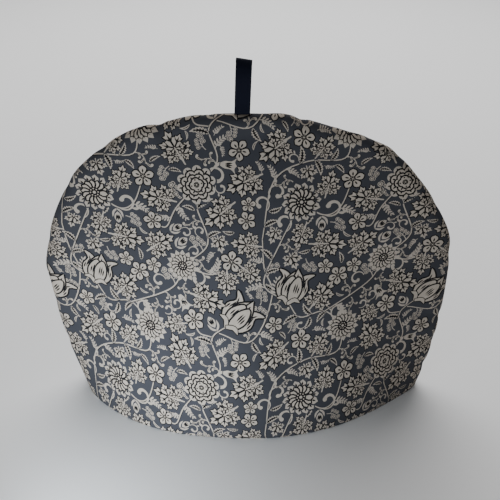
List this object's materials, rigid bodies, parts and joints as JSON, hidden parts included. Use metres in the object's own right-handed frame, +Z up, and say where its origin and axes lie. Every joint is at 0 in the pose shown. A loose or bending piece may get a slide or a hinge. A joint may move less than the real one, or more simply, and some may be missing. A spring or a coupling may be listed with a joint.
{
  "type": "tea cosy",
  "caption": "Dome-shaped tea cosy of two wadded printed cloth panels seamed round the top and open at the hem, with a tape hanging loop.",
  "frame": {"origin": "middle of the hem's plane, which is also the surface that the cosy stands on", "axes": "+Z up through the crown to the hanging loop, +X to the right of the front panel, and the front panel faces -Y"},
  "size_m": [0.3254, 0.1432, 0.2957],
  "materials": {
    "printed_cloth": "slate navy plain-weave cotton printed all over with beige flowers and leaves, matt",
    "loop_tape": "navy-black woven cotton tape, matt"
  },
  "bodies": {
    "root": {"front_panel": "printed_cloth", "back_panel": "printed_cloth", "hanging_loop": "loop_tape"}
  },
  "joints": []
}
